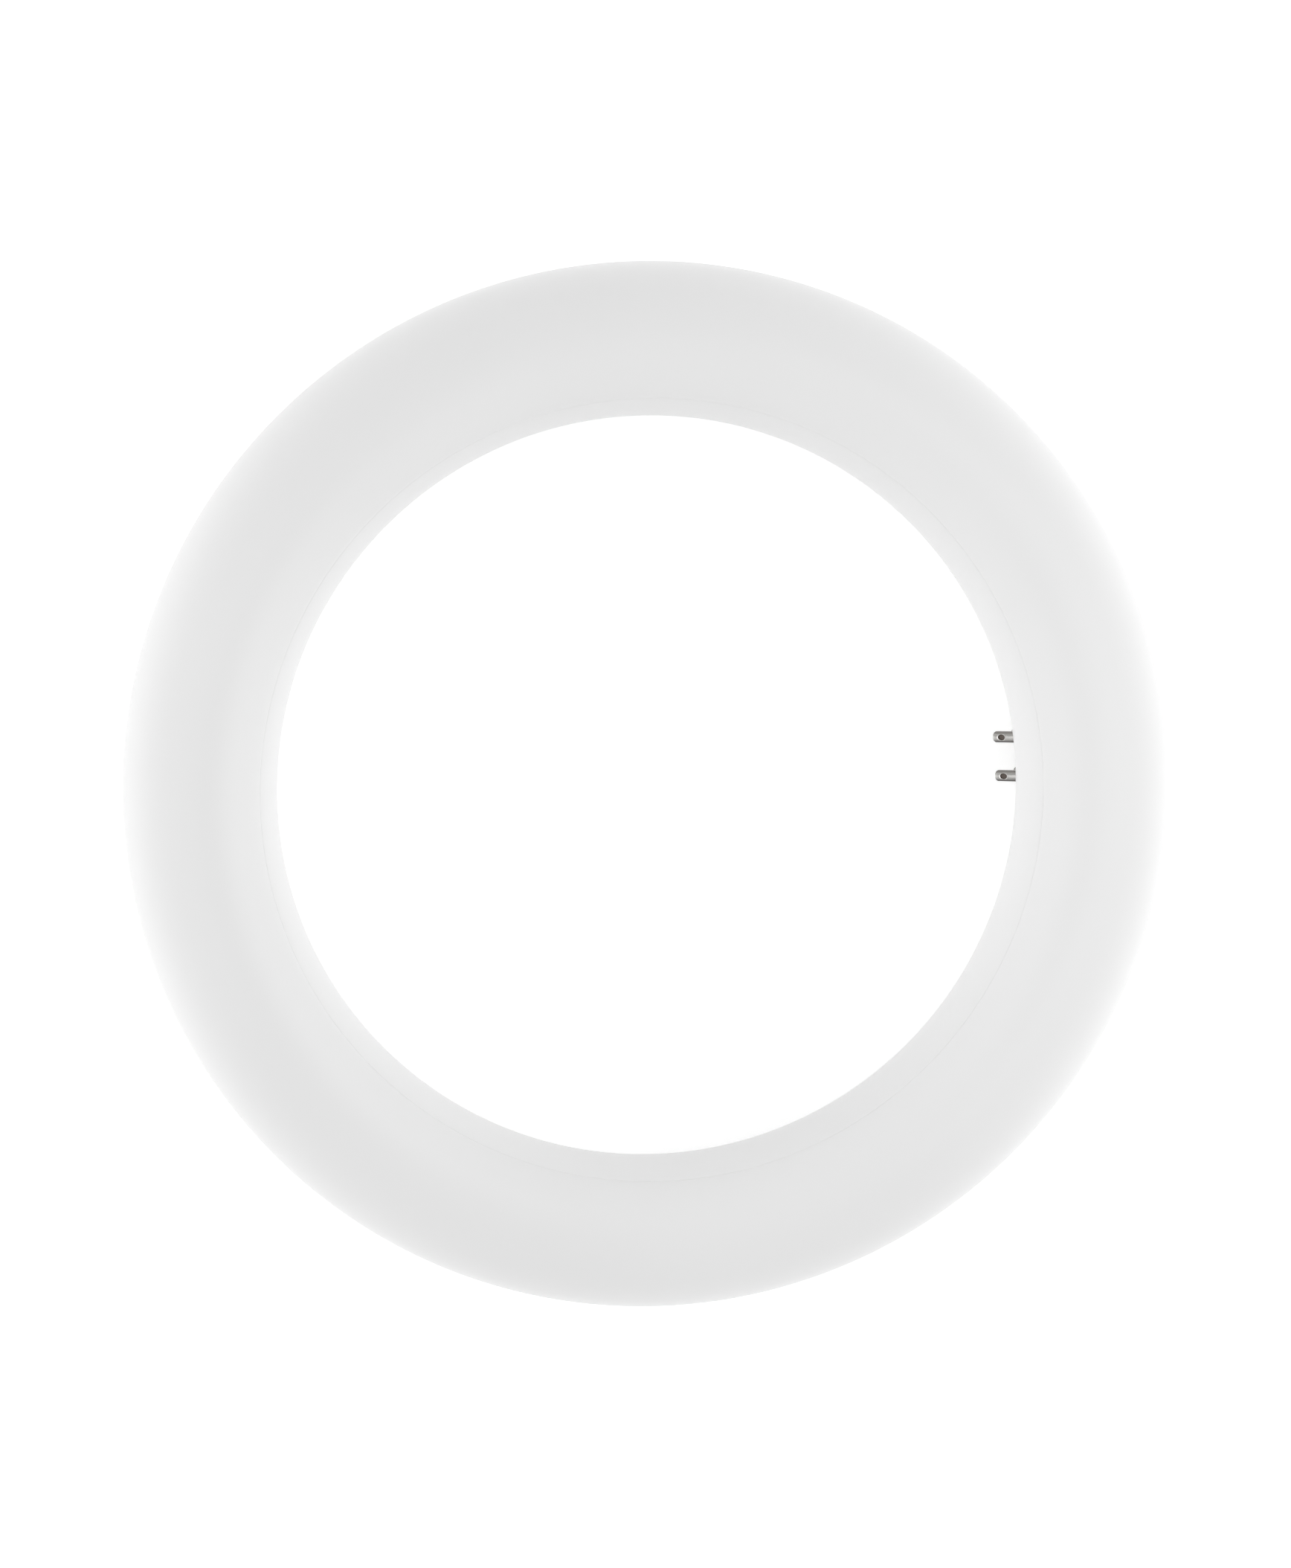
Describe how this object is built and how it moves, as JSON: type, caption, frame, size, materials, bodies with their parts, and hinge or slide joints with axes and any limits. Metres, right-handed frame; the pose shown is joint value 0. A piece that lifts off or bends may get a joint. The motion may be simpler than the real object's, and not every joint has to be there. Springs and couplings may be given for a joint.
{
  "type": "circular led tube",
  "caption": "Ring-shaped white LED lamp of round section, split into diffuser and housing along a fine groove, with a pin base on its inner rear side.",
  "frame": {"origin": "centre of the ring, in the plane through the middle of its round tube", "axes": "+Z towards the lamp's front, which the diffuser covers; +X towards the pin base; +Y along the ring at the base"},
  "size_m": [0.2096, 0.2096, 0.0333],
  "materials": {
    "diffuser_plastic": "opal white, smooth and glossy",
    "housing_plastic": "white, smooth, satin gloss",
    "base_plastic": "white, fine matt",
    "pin_metal": "nickel-plated brass, satin",
    "tinned_wire": "tinned copper wire",
    "board_laminate": "green laminate",
    "fuse_body": "painted, satin",
    "varistor_coat": "blue powder coat",
    "film_case": "moulded, smooth",
    "chip_mould": "black moulding",
    "capacitor_sleeve": "dark shrink sleeve",
    "ferrite": "dark sintered core with varnished winding",
    "strip_board": "white solder mask on aluminium",
    "package_resin": "white case with yellow resin window",
    "wire_insulation": "white insulation"
  },
  "bodies": {
    "root": {"front_diffuser": "diffuser_plastic", "rear_housing": "housing_plastic", "pin_base": "base_plastic", "contact_pin_1": "pin_metal", "contact_pin_2": "pin_metal", "contact_pin_3": "pin_metal", "contact_pin_4": "pin_metal", "pin_lead_1": "tinned_wire", "pin_lead_2": "tinned_wire", "pin_lead_3": "tinned_wire", "pin_lead_4": "tinned_wire", "driver_board": "board_laminate", "fuse_resistor": "fuse_body", "varistor": "varistor_coat", "film_capacitor": "film_case", "bridge_rectifier": "chip_mould", "control_chip": "chip_mould", "chip_resistors": "chip_mould", "bulk_capacitor": "capacitor_sleeve", "power_inductor": "ferrite", "filter_choke": "ferrite", "led_strip_1": "strip_board", "led_strip_2": "strip_board", "led_strip_3": "strip_board", "led_strip_4": "strip_board", "led_packages_1": "package_resin", "led_packages_2": "package_resin", "led_packages_3": "package_resin", "led_packages_4": "package_resin", "strip_link_1": "wire_insulation", "strip_link_2": "wire_insulation", "strip_link_3": "wire_insulation", "output_lead_1": "wire_insulation", "output_lead_2": "wire_insulation"}
  },
  "joints": []
}
